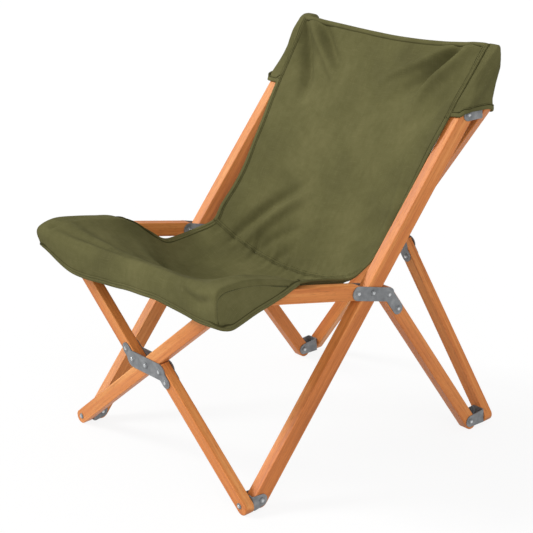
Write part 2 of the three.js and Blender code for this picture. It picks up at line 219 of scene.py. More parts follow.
def build_studio():
    sun("key", (-0.85, -0.80, 0.85), 2.05, 20)
    sun("fill", (0.95, -0.60, 0.55), 0.95, 50)
    s = Shader("studio", "worlds")
    strength = s.span(s.add("LightPath").outputs["Is Camera Ray"], 0.0, 1.0, round_light, shown_light)
    background = s.add("Background", {"Color": (1, 1, 1, 1), "Strength": strength})
    scene.world = s.finish(background.outputs[0], "OutputWorld")

    s = Shader("floor")
    path = s.add("LightPath")
    seen = s.math("MAXIMUM", path.outputs["Is Camera Ray"], path.outputs["Is Glossy Ray"])
    seen = s.math("MAXIMUM", seen, path.outputs["Is Transmission Ray"])
    pale = s.add("BsdfDiffuse", {"Color": (0.12, 0.12, 0.12, 1)})
    glow = s.add("Emission", {"Color": (1, 1, 1, 1), "Strength": floor_glow})
    shown = s.add("AddShader", {0: pale.outputs[0], 1: glow.outputs[0]})
    bounce = s.add("BsdfDiffuse", {"Color": (0.7, 0.7, 0.7, 1)})
    both = s.add("MixShader", {0: seen, 1: bounce.outputs[0], 2: shown.outputs[0]})
    mesh = bpy.data.meshes.new("floor")
    corners = [(x * floor_reach, y * floor_reach, 0) for x, y in ((-1, -1), (1, -1), (1, 1), (-1, 1))]
    mesh.from_pydata(corners, [], [(0, 1, 2, 3)])
    floor = bpy.data.objects.new("floor", mesh)
    mesh.materials.append(s.finish(both.outputs[0]))
    scene.collection.objects.link(floor)
    scene.view_settings.view_transform = "Standard"


build_studio()


# Mesh helpers


def make_object(name, points, faces, material):
    mesh = bpy.data.meshes.new(name)
    mesh.from_pydata([tuple(p) for p in points], [], [tuple(f) for f in faces])
    mesh.validate()
    made = bpy.data.objects.new(name, mesh)
    scene.collection.objects.link(made)
    mesh.materials.append(material)
    mesh.shade_smooth()
    return made


def apply_modifiers(made):
    graph = bpy.context.evaluated_depsgraph_get()
    mesh = bpy.data.meshes.new_from_object(made.evaluated_get(graph))
    made.modifiers.clear()
    made.data = mesh


def face_outward(made):
    """Turns the faces of a closed mesh to look outward."""
    work = bmesh.new()
    work.from_mesh(made.data)
    bmesh.ops.recalc_face_normals(work, faces=work.faces)
    work.to_mesh(made.data)
    work.free()


def ring_faces(rings, count, start=0, closed=False):
    """Faces that join each ring of points to the next one and, if closed, the last to the first."""
    faces = []
    for ring in range(rings if closed else rings - 1):
        below, above = start + ring * count, start + (ring + 1) % rings * count
        for i in range(count):
            j = (i + 1) % count
            faces.append((below + i, below + j, above + j, above + i))
    return faces


def end_faces(rings, count, start=0):
    """Faces that fill the first and the last ring of points."""
    last = start + (rings - 1) * count
    return [tuple(range(start, start + count))[::-1], tuple(range(last, last + count))]


def circle(count):
    """The cosine and sine of equal steps around a circle."""
    turns = [2 * math.pi * k / count for k in range(count)]
    return [(math.cos(turn), math.sin(turn)) for turn in turns]


def joined(pieces):
    """The points and faces of several pieces as one."""
    points, faces = [], []
    for some_points, some_faces in pieces:
        faces += [[i + len(points) for i in face] for face in some_faces]
        points += some_points
    return points, faces


def unit(v):
    v = np.asarray(v, float)
    return v / np.maximum(np.linalg.norm(v, axis=-1, keepdims=True), 1e-12)


def lengths_along(line):
    """The length of a line of points from its start to each of them."""
    return np.concatenate([[0], np.cumsum(np.linalg.norm(np.diff(line, axis=0), axis=1))])


def bell(distance, width):
    return np.exp(-(distance / width) ** 2)


def spline(points, stations):
    """A smooth curve through evenly numbered points, at the given station numbers."""
    points = np.array(points, float)
    padded = np.vstack([2 * points[0] - points[1], points, 2 * points[-1] - points[-2]])
    stations = np.clip(np.asarray(stations, float), 0, len(points) - 1)
    first = np.minimum(stations.astype(int), len(points) - 2)
    t = (stations - first)[..., None]
    a, b, c, d = (padded[first + k] for k in range(4))
    curved = (2 * a - 5 * b + 4 * c - d) * t ** 2
    twisted = (3 * b - a - 3 * c + d) * t ** 3
    return 0.5 * (2 * b + (c - a) * t + curved + twisted)


# Wood

grain_steps = (1.7, 0.61, 0.37)  # how far one bar's grain lies from the next one's


def wood_material(name, centre, along, across, seed):
    s = Shader(name)
    place = s.add("TexCoord").outputs
    local = s.vector_math("SUBTRACT", place["Object"], centre)
    axes = (along, across, np.cross(along, across))
    spans = {i: s.vector_math("DOT_PRODUCT", local, axis) for i, axis in enumerate(axes)}
    grain = s.vector_math("ADD", s.add("CombineXYZ", spans).outputs[0], [seed * step for step in grain_steps])
    broad = s.streaks(grain, (1.6, 22, 22), 3.0, 0.4)
    fine = s.streaks(grain, (4.0, 150, 150), 4.0, 0.6)
    pores = s.streaks(grain, (60, 900, 900), 2.0)
    tone = s.sum(broad, 0.62, fine, 0.38)
    colour = s.ramp(tone, [(0.32, rgb("B0652F")), (0.43, rgb("CD7A3E")),
                           (0.54, rgb("DE8D4C")), (0.68, rgb("EEA966"))])
    streak = s.streaks(grain, (5.0, 240, 240), 2.0, 0.8)
    colour = s.tint(colour, streak, 0.54, 0.68, 0.32, "A2581C")
    dark = s.span(pores, 0.58, 0.72)
    colour = s.mix(s.math("MULTIPLY", dark, 0.5), colour, rgb("86461B"))
    wide = s.streaks(grain, (3.0, 3.0, 3.0), 2.0)
    colour = s.tint(colour, wide, 0.35, 0.7, 0.28, "C36E2D")
    end = s.math("ABSOLUTE", s.vector_math("DOT_PRODUCT", place["Normal"], along))
    colour = s.tint(colour, end, 0.55, 0.95, 0.5, "8C4F29")
    height = s.sum(fine, 0.6, dark, -0.5)
    return s.principled({
        "Base Color": colour, "Roughness": s.span(fine, 0.3, 0.7, 0.42, 0.58),
        "Normal": s.bump(height, 0.35, 0.0005), "Coat Weight": 0.05, "Coat Roughness": 0.4,
        "Specular IOR Level": 0.3,
    })


bar_edge = 0.0022
bar_end_steps = 18
bar_edge_steps = 4
bar_end_reach = 0.0005  # points this near a bar's end tell whether it is square


def face_facts(mesh):
    """The normals, areas and middles of a mesh's faces."""
    return (np.array([getattr(face, key) for face in mesh.polygons]) for key in ("normal", "area", "center"))


def face_spread(normals, areas):
    """How much of a mesh's faces look each way, least first, with those ways as columns."""
    return np.linalg.eigh((normals * areas[:, None]).T @ normals)


def face_axes(mesh):
    """Directions along a bar, where the least of its faces look, and across it, where the next least do."""
    normals, areas, _ = face_facts(mesh)
    along, across = face_spread(normals, areas)[1].T[:2]
    if along[2] < 0:
        along = -along
    if across[np.argmax(np.abs(across))] < 0:
        across = -across
    return along, across


def bar_outline(start, end, half, start_square, end_square):
    """The bar's outline in its own plane, round or square at each end."""
    points = []
    for place, sign, square in ((end, 1, end_square), (start, -1, start_square)):
        if square:
            points += [(place, -half * sign), (place, half * sign)]
            continue
        for step in range(bar_end_steps + 1):
            angle = -math.pi / 2 + math.pi * step / bar_end_steps
            reach = place - sign * half + sign * half * math.cos(angle)
            points.append((reach, sign * half * math.sin(angle)))
    return points


def build_bar(name, seed):
    cad = nodes[name]
    along, across = face_axes(cad.data)
    axes = np.array([along, across, np.cross(along, across)])
    local = np.array([v.co for v in cad.data.vertices], float) @ axes.T
    low, high = local.min(0), local.max(0)
    middle = (low + high) / 2
    half, thick = (high - low)[1:] / 2
    square = []
    for end in (low[0], high[0]):
        near = local[np.abs(local[:, 0] - end) < bar_end_reach, 1]
        square.append(np.ptp(near) > half)
    rings = []
    for side in (-1, 1):
        for step in range(bar_edge_steps + 1):
            angle = math.pi / 2 * (step if side < 0 else bar_edge_steps - step) / bar_edge_steps
            inset = bar_edge * (1 - math.sin(angle))
            level = side * (thick - bar_edge + bar_edge * math.cos(angle))
            outline = bar_outline(low[0] + inset, high[0] - inset, half - inset, *square)
            rings.append([(u, v + middle[1], level + middle[2]) for u, v in outline])
    points = np.array([p for ring in rings for p in ring]) @ axes
    size = len(rings), len(rings[0])
    material = wood_material("wood_" + name, middle @ axes, along, across, seed)
    made = make_object("wood_" + name, points, end_faces(*size) + ring_faces(*size), material)
    face_outward(made)
    weighted = made.modifiers.new("weighted", "WEIGHTED_NORMAL")
    weighted.weight = 100
    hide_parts(name)
    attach(made, cad["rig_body"])


side_kinds, crossed_kinds = ("side_bar", "rear_leg", "seat_rail"), ("bar_solid", "arm_upper", "arm_lower")
wood_nodes = [f"{kind}_{side}" for kind in side_kinds for side in sides]
wood_nodes += [f"{place}_{kind}" for place in ("front", "back") for kind in crossed_kinds]
for seed, name in enumerate(wood_nodes, 1):
    build_bar(name, seed)


# Steel


def steel_material():
    s = Shader("zinc_steel")
    place = s.add("TexCoord").outputs["Object"]
    cloud = s.noise(place, 60.0, 4.0)
    speck = s.noise(place, 900.0, 2.0)
    colour = s.ramp(cloud, [(0.3, rgb("727476")), (0.5, rgb("848688")), (0.7, rgb("989A9B"))])
    colour = s.tint(colour, speck, 0.55, 0.75, 0.35, "56585A")
    return s.principled({
        "Base Color": colour, "Metallic": 0.5, "Roughness": s.span(cloud, 0.3, 0.7, 0.42, 0.56),
        "Normal": s.bump(speck, 0.12, 0.0002),
    })


# Steel of the rivets' domed buttons: shinier than the straps, and painted pale as a highlight that stands for
# the glint on each dome.
def glint_rivet_material():
    s = Shader("glint_rivet_steel")
    place = s.add("TexCoord").outputs["Object"]
    cloud = s.noise(place, 220.0, 3.0)
    colour = s.ramp(cloud, [(0.3, rgb("B2B5B7")), (0.7, rgb("D2D4D5"))])
    return s.principled({
        "Base Color": colour, "Metallic": 0.85, "Roughness": s.span(cloud, 0.3, 0.7, 0.26, 0.4),
        "Normal": s.bump(cloud, 0.1, 0.0002),
    })


steel = steel_material()
glint_rivet_steel = glint_rivet_material()
steel_edge = 0.0004


def has_heads(name):
    """Whether a node is a strap with its fixed rivets, or a pin that turns."""
    return "strap" in name or "pin" in name or "pivot" in name


def finish_steel(obj):
    obj.data.materials.clear()
    obj.data.materials.append(steel)
    weld = obj.modifiers.new("weld", "WELD")
    weld.merge_threshold = 0.00002
    bevel = obj.modifiers.new("bevel", "BEVEL")
    bevel.width = steel_edge
    bevel.segments = 2
    bevel.angle_limit = math.radians(40)


dome_sides = 20
# Shares of the radius and of the height
dome_rings = [(1.0, -0.25), (1.0, 0.05), (0.94, 0.35), (0.80, 0.62), (0.58, 0.84), (0.30, 0.96)]
dome_slant = (0.31, 0.52, 0.79)  # any way that no rivet points


def dome(centre, axis, radius, height):
    """Points and faces of a rivet's domed button."""
    side = unit(np.cross(axis, dome_slant))
    other = np.cross(axis, side)
    points = []
    for wide, high in dome_rings:
        for c, s in circle(dome_sides):
            points.append(centre + (side * c + other * s) * radius * wide + axis * height * high)
    points.append(centre + axis * height)
    bottom, top = end_faces(len(dome_rings), dome_sides)
    faces = ring_faces(len(dome_rings), dome_sides)
    faces += [(top[k], top[(k + 1) % dome_sides], len(points) - 1) for k in range(dome_sides)]
    return points, faces + [bottom]


flat_reach = 0.0002  # faces and points this near the furthest one belong to a flat top
heads_area = 0.0008  # more flat area than this is the strap's own plate
head_reach = 0.009  # faces nearer to each other belong to one head


def head_places(name, mesh):
    """The middle of each rivet head's flat top, with the way it faces."""
    normals, areas, middles = face_facts(mesh)
    shares, ways = face_spread(normals, areas)
    if "strap" not in name:
        # A pin's axis is the way whose share of the faces differs from the other two
        axis = ways[:, 0] if shares[1] - shares[0] > shares[2] - shares[1] else ways[:, 2]
        points = np.array([v.co for v in mesh.vertices])
        along = points @ axis
        return [(points[np.abs(along - end) < flat_reach].mean(0), way)
                for end, way in ((along.max(), axis), (along.min(), -axis))]
    found = []
    for way in (ways[:, 2], -ways[:, 2]):
        level = middles @ way
        facing = normals @ way > 0.99
        top = facing & (level > level[facing].max() - flat_reach)
        if areas[top].sum() > heads_area:
            continue
        spots = middles[top]
        while len(spots):
            near = np.linalg.norm(spots - spots[0], axis=1) < head_reach
            found.append((spots[near].mean(0), way))
            spots = spots[~near]
    return found


button_radius, button_height = 0.0036, 0.0013
# Each rivet head gets a pale button on its top, a painted highlight; the head's plain steel rim shows around
# it.
for name, obj in nodes.items():
    if name.startswith("bracket") or has_heads(name):
        finish_steel(obj)
    if not has_heads(name):
        continue
    heads = head_places(name, obj.data)
    points, faces = joined(dome(centre, way, button_radius, button_height) for centre, way in heads)
    if points:
        buttons = make_object("buttons_" + name, points, faces, glint_rivet_steel)
        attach(buttons, obj["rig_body"])


# Canvas

weave_pitch = 0.0011


def canvas_material():
    s = Shader("canvas")
    cloth = s.add("Attribute", attribute_name="cloth").outputs["Vector"]
    place = s.add("TexCoord").outputs["Object"]
    bands = {"Vector": cloth, "Scale": 1 / weave_pitch / 20 * math.pi, "Distortion": 0.6, "Detail": 1.0,
             "Detail Scale": 30.0}
    warp, weft = (s.add("TexWave", bands, bands_direction=way).outputs["Fac"] for way in "XY")
    weave = s.sum(warp, 0.5, weft, 0.5)
    slub = s.streaks(cloth, (30, 600, 1), 2.0)
    slub_across = s.streaks(cloth, (600, 30, 1), 2.0)
    cloud = s.noise(place, 7.0, 4.0, 0.3)
    mottle = s.noise(place, 70.0, 3.0)
    colour = s.ramp(cloud, [(0.30, rgb("5A5738")), (0.50, rgb("65623F")), (0.72, rgb("716D48"))])
    colour = s.tint(colour, mottle, 0.35, 0.7, 0.22, "504D2D")
    colour = s.mix(s.span(weave, 0.2, 0.9, 0.22, 0.0), colour, rgb("464427"))
    threads = s.math("MULTIPLY", s.math("ADD", slub, slub_across), 0.5)
    colour = s.tint(colour, threads, 0.52, 0.72, 0.25, "847F57")
    # Painted shade: the cloth is darkened in the hems' stitch grooves and along their inner edges, where
    # shadow falls.
    groove_shade = s.add("Attribute", attribute_name="groove_shade").outputs["Fac"]
    colour = s.mix(s.math("MULTIPLY", groove_shade, 0.72), colour, rgb("2F2D16"))
    height = s.sum(weave, 0.7, threads, 0.6)
    return s.principled({
        "Base Color": colour, "Roughness": s.span(mottle, 0.3, 0.7, 0.82, 0.94),
        "Normal": s.bump(height, 0.3, 0.0004), "Specular IOR Level": 0.05,
    })


canvas = canvas_material()

cloth_thickness = 0.0020
pocket_thickness = 0.0016
bar_inside = half_width - 0.013  # inner face of a side frame's bars

# Each row is a station across the sling, from the top hem down to the lower hem of the front apron.
# Back: left [x, along, out], middle [along, out] and right [x, along, out], along and out by the side bar.
back_rows = [
    [(-0.270, 0.128, 0.0352), (0.1262, 0.0245), (0.266, 0.149, 0.0220)],
    [(-0.2695, 0.105, 0.0365), (0.104, 0.0185), (0.2655, 0.115, 0.0225)],
    [(-0.2675, 0.060, 0.0280), (0.059, 0.011), (0.265, 0.062, 0.0225)],
    [(-0.265, 0.010, 0.0235), (0.010, 0.0045), (0.264, 0.010, 0.0225)],
    [(-0.262, -0.030, 0.0215), (-0.030, -0.0005), (0.2665, -0.027, 0.0235)],
    [(-0.257, -0.080, 0.0175), (-0.078, -0.005), (0.2650, -0.075, 0.0225)],
    [(-0.253, -0.125, 0.0120), (-0.122, -0.010), (0.2600, -0.117, 0.0170)],
    [(-0.248, -0.183, 0.0070), (-0.182, -0.0165), (0.2560, -0.180, 0.0085)],
    [(-0.243, -0.240, 0.0015), (-0.242, -0.023), (0.2560, -0.240, 0.0040)],
    [(-0.240, -0.292, 0.0020), (-0.297, -0.029), (0.2565, -0.290, 0.0000)],
    [(-0.240, -0.345, 0.0065), (-0.352, -0.036), (0.2570, -0.3386, 0.0083)],
    [(-0.232, -0.384, 0.0108), (-0.4175, -0.0465), (0.2570, -0.3783, 0.0250)],
]
seam_station = len(back_rows) - 1
pocket_end_station = 3.95
# Seat: left [x, y, z], middle [y, z] and right [x, y, z]
seat_rows = [
    [(-0.248, -0.038, 0.393), (-0.022, 0.3310), (0.2570, -0.0345, 0.4110)],
    [(-0.257, -0.078, 0.383), (-0.070, 0.3225), (0.2570, -0.0660, 0.4140)],
    [(-0.2575, -0.120, 0.3815), (-0.118, 0.3250), (0.2580, -0.108, 0.4235)],
    [(-0.258, -0.153, 0.403), (-0.162, 0.3350), (0.2610, -0.150, 0.4305)],
    [(-0.272, -0.198, 0.433), (-0.200, 0.3500), (0.278, -0.192, 0.4405)],
    [(-0.290, -0.236, 0.450), (-0.234, 0.3690), (0.290, -0.232, 0.457)],
    [(-0.292, -0.278, 0.458), (-0.266, 0.3900), (0.292, -0.280, 0.470)],
    [(-0.292, -0.325, 0.466), (-0.302, 0.4150), (0.293, -0.330, 0.480)],
    [(-0.293, -0.372, 0.471), (-0.339, 0.4390), (0.293, -0.377, 0.480)],
    [(-0.296, -0.402, 0.464), (-0.373, 0.4490), (0.294, -0.402, 0.474)],
    [(-0.299, -0.414, 0.452), (-0.390, 0.4430), (0.296, -0.409, 0.456)],
    [(-0.296, -0.412, 0.433), (-0.397, 0.4160), (0.296, -0.409, 0.4285)],
    [(-0.290, -0.407, 0.416), (-0.397, 0.3950), (0.294, -0.403, 0.403)],
]
# How steeply the sling rises to its sides: in general, at the top hem, and added on the seat
sag_power, top_sag_power, seat_sag_power = 2.2, 1.8, 0.7
top_sag_reach, seat_sag_reach = 1.2, 1.6
seat_sag_station = 3  # after the seam
sag_margin = 0.004  # the sling has risen this far inside the bars
apron_stations = 4
flap_start = seam_station + 5  # the station where the right and left edges turn down over the rails
# Lower hem of the side flaps at the stations from flap_start on, [x, y, z] on the right
flap_hem = [
    (0.280, -0.1960, 0.4388), (0.2935, -0.2199, 0.4403), (0.2965, -0.2460, 0.4320), (0.2965, -0.2800, 0.4218),
    (0.2965, -0.3140, 0.4126), (0.2965, -0.3450, 0.4017), (0.2965, -0.3705, 0.3942), (0.296, -0.3900, 0.3974),
    (0.294, -0.403, 0.403),
]

rows = [(by_bar(*left), by_bar(0.0, *centre), by_bar(*right)) for left, centre, right in back_rows]
rows += [(left, (0.0, *centre), right) for left, centre, right in seat_rows]
left_edge, middle_line, right_edge = (on_floor(line) for line in zip(*rows))
last_station = len(middle_line) - 1

# How much lower the seat's front edge hangs than the plain curve, at equal steps from left to right
front_drops = [[0], [0.0139], [0.0217], [0.0181], [0.0109], [0.0052], [-0.0014],
               [-0.0050], [-0.0080], [-0.0050], [-0.0015], [0.0020], [0]]


def sling_point(u, station):
    """The sling's middle surface: u runs from -1 at the left edge to 1 at the right one."""
    u, station = np.broadcast_arrays(np.asarray(u, float), np.asarray(station, float))
    left, centre, right = (spline(rows, station) for rows in (left_edge, middle_line, right_edge))
    side = np.where((u > 0)[..., None], right, left)
    reach = np.abs(side[..., 0])
    level = np.minimum(reach, bar_inside - sag_margin)
    power = sag_power + (top_sag_power - sag_power) * bell(station, top_sag_reach)
    power = power + seat_sag_power * bell(station - seam_station - seat_sag_station, seat_sag_reach)
    rise = (np.minimum(1, np.abs(u) * reach / level) ** power)[..., None]
    point = centre + (side - centre) * rise
    point[..., 0] = side[..., 0] * np.abs(u)
    front = np.clip((station - (last_station - apron_stations)) / apron_stations, 0, 1)
    point[..., 2] -= front * spline(front_drops, (u + 1) * (len(front_drops) - 1) / 2)[..., 0]
    return point


# Soft folds: path of (u, station), width, height (below zero for a hollow)
folds = [
    ([(-0.97, 0.5), (-0.84, 2.1), (-0.73, 3.3), (-0.68, 4.4)], 0.016, -0.022),
    ([(-0.89, 0.5), (-0.65, 1.9), (-0.40, 3.1)], 0.013, 0.017),
    ([(-0.74, 0.6), (-0.62, 1.6), (-0.46, 2.4)], 0.013, -0.015),
    ([(0.84, 0.0), (0.71, 0.3), (0.42, 1.6), (0.12, 2.5)], 0.010, 0.013),
    ([(0.93, 0.1), (0.86, 0.5), (0.75, 1.6), (0.64, 2.4), (0.56, 4.1)], 0.016, 0.020),
    ([(0.80, 0.5), (0.67, 1.3), (0.50, 2.3), (0.33, 3.0)], 0.016, -0.018),
    ([(0.93, 1.6), (0.84, 2.8), (0.78, 4.2)], 0.015, -0.009),
    ([(-0.76, 11.0), (-0.58, 9.4), (-0.30, 8.1)], 0.014, -0.016),
    ([(-0.66, 11.0), (-0.39, 9.3), (-0.15, 8.2)], 0.014, 0.014),
    ([(-0.48, 11.0), (-0.28, 10.1), (-0.08, 9.6)], 0.010, -0.007),
    ([(-0.26, 11.0), (-0.07, 10.3)], 0.009, -0.006),
    ([(0.79, 6.1), (0.91, 8.0), (0.90, 9.4)], 0.014, 0.009),
    ([(-0.30, 1.2), (-0.26, 3.0), (-0.32, 5.2)], 0.030, 0.008),
    ([(0.05, 2.6), (-0.02, 4.4), (0.05, 6.0)], 0.034, -0.006),
    ([(-0.62, 17.0), (-0.20, 17.8), (0.35, 18.7)], 0.020, 0.005),
    ([(-0.80, 15.0), (-0.45, 16.0), (0.05, 16.8)], 0.024, -0.006),
    ([(-0.90, 21.3), (-0.46, 21.2), (-0.06, 21.25), (0.40, 21.0), (0.80, 20.7)], 0.006, 0.005),
    ([(-0.84, 20.6), (-0.46, 20.6), (-0.06, 20.6), (0.30, 20.4)], 0.010, -0.005),
    ([(-0.90, 21.3), (-0.89, 20.7), (-0.87, 20.0)], 0.007, -0.006),
    ([(-0.88, 19.4), (-0.40, 19.2), (0.20, 18.8), (0.75, 18.6)], 0.020, -0.007),
    ([(0.94, 22.2), (0.80, 22.5), (0.62, 22.1)], 0.010, -0.006),
    ([(0.96, 21.4), (0.84, 21.7), (0.60, 21.3)], 0.008, 0.004),
]


fold_taper = 0.07  # share of a half wave that is cut off at each end of a fold
fold_samples = 40


def fold_heights(points):
    """How far the soft folds lift each point off the plain sling."""
    heights = np.zeros(len(points))
    for path, width, height in folds:
        line = np.array([sling_point(u, s) for u, s in path])
        length = np.linalg.norm(np.diff(line, axis=0), axis=1).sum()
        steps = np.linspace(0, len(line) - 1, max(fold_samples, int(3 * length / width)))
        line = spline(line, steps)
        gap = np.linalg.norm(points[:, None, :] - line[None], axis=2)
        nearest = gap.argmin(1)
        share = nearest / (len(line) - 1)
        taper = np.sin(math.pi * np.clip(share * (1 - 2 * fold_taper) + fold_taper, 0, 1)) ** 0.7
        heights += height * taper * bell(gap.min(1), width)
    return heights


# Gathers along the seam: radians per metre, shift and share of each wave
pucker_waves = [(190, 0.7, 1.0), (310, 2.1, 0.8), (83, 1.3, 0.6)]
pucker_height, pucker_reach, pucker_half_width = 0.0011, 0.55, 0.23
# Slack: a height, and [x, y, z, shift] of two waves that are multiplied
slack_waves = [(0.0011, (21, 0, 13, 0.4), (-9, 17, 0, 1.1)), (0.00045, (47, -33, 0, 2.0), (23, 0, 41, 0))]


def pucker_heights(x, station):
    """Small gathers that run off the seam between the back and the seat."""
    waves = sum(share * np.sin(x * number + shift) for number, shift, share in pucker_waves)
    near = bell(station - seam_station, pucker_reach)
    return pucker_height * waves * near * np.exp(-(x / pucker_half_width) ** 8)


def slack_heights(points):
    """The faint waviness of cloth that isn't pulled tight."""
    x, y, z = points[..., 0], points[..., 1], points[..., 2]
    heights = 0
    for height, *waves in slack_waves:
        first, second = (np.sin(x * a + y * b + z * c + shift) for a, b, c, shift in waves)
        heights = heights + height * (first * second)
    return heights


columns = 168
rows_per_station = 9
edge_ease = 0.06  # share of the half width over which folds fade out to the edge
top_start, top_stations = 0.15, 0.8  # their share left at the top hem, and how fast they grow below it


def grid_normals(grid):
    """Normals of a grid of points, facing the side that the sitter sees."""
    across = np.gradient(grid, axis=1)
    down = np.gradient(grid, axis=0)
    return unit(np.cross(down, across))


def point_numbers(height, width):
    return np.arange(height * width).reshape(height, width)


def grid_faces(table):
    """Faces between neighbours in a table of point numbers."""
    rows = table.tolist()
    return [(a[i], a[i + 1], b[i + 1], b[i]) for a, b in zip(rows, rows[1:]) for i in range(len(a) - 1)]


def cloth_lengths(grid):
    """Lengths along the cloth at each point of a grid, across and down."""
    across = np.zeros(grid.shape[:2])
    down = np.zeros(grid.shape[:2])
    across[:, 1:] = np.cumsum(np.linalg.norm(np.diff(grid, axis=1), axis=2), axis=1)
    across -= across[:, grid.shape[1] // 2][:, None]
    down[1:] = np.cumsum(np.linalg.norm(np.diff(grid, axis=0), axis=2), axis=0)
    return np.stack([across, down, np.zeros_like(down)], axis=2)


def cloth_object(name, points, faces, lengths):
    """A piece of canvas with the lengths along its cloth, which its weave follows."""
    made = make_object(name, points.reshape(-1, 3), faces, canvas)
    attribute = made.data.attributes.new("cloth", "FLOAT_VECTOR", "POINT")
    attribute.data.foreach_set("vector", np.asarray(lengths, np.float32).ravel())
    return made


def sling_grid(first, last):
    """Points of the sling from one station to another, row by row."""
    steps = int(round((last - first) * rows_per_station)) + 1
    u, station = np.meshgrid(np.linspace(-1, 1, columns + 1), np.linspace(first, last, steps))
    grid = sling_point(u, station)
    ease = np.clip((1 - np.abs(u)) / edge_ease, 0, 1)
    top_ease = np.clip(top_start + station / top_stations, 0, 1)
    heights = fold_heights(grid.reshape(-1, 3)).reshape(u.shape) * ease * top_ease
    heights += (pucker_heights(grid[..., 0], station) + slack_heights(grid)) * ease
    return grid + grid_normals(grid) * heights[..., None]


def finish_cloth(made, thickness=cloth_thickness):
    """Gives a sheet of cloth its thickness, half to each side."""
    solid = made.modifiers.new("solid", "SOLIDIFY")
    solid.thickness = thickness
    solid.offset = 0
    apply_modifiers(made)
    made.data.shade_smooth()


def hold(made, body, *replaced):
    """Fixes a soft piece to its body, in place of the solids named."""
    if replaced:
        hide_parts(*replaced)
    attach(made, body)


def narrows(made):
    """Gives a piece that spans the chair its own copy of its mesh."""
    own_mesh(made)


# Hems

# Cross sections of the top half of a hem: inward from the edge, and up from the middle of the cloth
hem_groove = [(0.0066, 0.0025), (0.0071, 0.0012), (0.0077, 0.0011), (0.0082, 0.0012), (0.0087, 0.0024)]
second_groove = [(0.0026, 0.0026), (0.0030, 0.0013), (0.0036, 0.0013), (0.0040, 0.0026)]
inner_edge = [(0.0098, 0.0023), (0.0103, 0.0015), (0.0105, 0.0006)]
hem_top = [(0.0008, 0.0024), (0.0022, 0.0027), (0.0050, 0.0027), *hem_groove, *inner_edge]
double_top = [(0.0008, 0.0024), (0.0018, 0.0027), *second_groove, *hem_groove, *inner_edge]
roll_top = [(0.0010, 0.0024), (0.0030, 0.0026), (0.0060, 0.0022), (0.0090, 0.0014), (0.0110, 0.0006)]
wide_top = [(0.0008, 0.0024), (0.0020, 0.0027), (0.0052, 0.0027), (0.0056, 0.0020), (0.0062, 0.0020),
            (0.0066, 0.0027), (0.0108, 0.0026), (0.0114, 0.0013), (0.0121, 0.0011), (0.0130, 0.0006)]
bead_top = [(0.0082, 0.0012), (0.0090, 0.0019), (0.0104, 0.0021), (0.0112, 0.0014), (0.0116, 0.0011),
            (0.0128, 0.0010), (0.0134, 0.0006)]
seam_top = [(0.0002, 0.0008), (0.0007, 0.0021), (0.0018, 0.0022), (0.0023, 0.0012), (0.0029, 0.0012),
            (0.0034, 0.0020), (0.0068, 0.0020), (0.0078, 0.0014), (0.0082, 0.0006)]

# Where the rows of stitches run in those sections
hem_stitch, second_stitch = (0.0076, 0.0011), (0.0034, 0.0013)
wide_stitch, bead_stitch, seam_stitch = (0.0059, 0.0020), (0.0122, 0.0011), (0.0023, 0.0011)

# Painted shade in the hems' grooves and along their inner edges: none above this height, full where it is
# lower by the fade, none on the outer edge
shade_height, shade_fade, shade_margin = 0.0019, 0.0006, 0.0003
rim_steps = 6


def closed_section(top):
    """A hem's whole section, with a round outer edge."""
    start, radius = top[0]
    rim = []
    for step in range(1, rim_steps):
        angle = math.pi / 2 + math.pi * step / rim_steps
        rim.append((start + radius * math.cos(angle), radius * math.sin(angle)))
    under = [(a, -b) for a, b in top]
    return np.array([*top[::-1], *rim, *under])


def smoothed(values, passes):
    """Rows of values, each pass evened out with their neighbours."""
    values = np.array(values, float)
    for _ in range(passes):
        values[1:-1] = values[:-2] * 0.25 + values[1:-1] * 0.5 + values[2:] * 0.25
    return values


def beside(path, normal):
    """The direction in the cloth at right angles to a line on it."""
    return unit(np.cross(normal, np.gradient(path, axis=0)))


def sweep(name, path, inward, normal, top, closed):
    """Sweeps a hem along an edge and returns its mesh object."""
    section = closed_section(top)
    tangent = unit(np.gradient(path, axis=0))
    if closed:
        tangent = unit(np.roll(path, -1, 0) - np.roll(path, 1, 0))
    reach = np.linalg.norm(inward, axis=1)[:, None, None]
    inward = unit(inward - tangent * (inward * tangent).sum(1, keepdims=True))
    normal = unit(normal - tangent * (normal * tangent).sum(1, keepdims=True))
    normal = unit(normal - inward * (normal * inward).sum(1, keepdims=True))
    across, up = section[None, :, :1], section[None, :, 1:]
    points = path[:, None] + inward[:, None] * across * reach + normal[:, None] * up
    cloth = np.zeros(points.shape)
    cloth[..., 0] = lengths_along(section)[None]
    cloth[..., 1] = lengths_along(path)[:, None]
    size = len(path), len(section)
    faces = ring_faces(*size, closed=closed)
    if not closed:
        faces += end_faces(*size)
    made = cloth_object(name, points, faces, cloth)
    # Painted shade on the low parts of the section, in its grooves and at its inner edge
    low = np.clip((shade_height - np.abs(section[:, 1])) / shade_fade, 0, 1)
    low *= section[:, 0] > top[0][0] + shade_margin
    grooves = made.data.attributes.new("groove_shade", "FLOAT", "POINT")
    grooves.data.foreach_set("value", np.tile(low, len(path)).astype(np.float32))
    face_outward(made)
    return made


def resampled(values, lengths, spots):
    """Rows of values known at some lengths, read off at others."""
    return np.stack([np.interp(spots, lengths, values[:, k]) for k in range(3)], axis=1)


stitch_pitch, stitch_length, thread_radius = 0.0034, 0.0025, 0.00034
thread_sides = 6
# Places along a stitch, how high it lies there and how thick it is, both as shares of the thread's radius
stitch_shares = np.array([0.0, 0.2, 0.5, 0.8, 1.0])
stitch_lifts = np.array([-0.5, 0.6, 1.0, 0.6, -0.5]) * thread_radius
stitch_widths = (0.45, 1.0, 1.0, 1.0, 0.45)


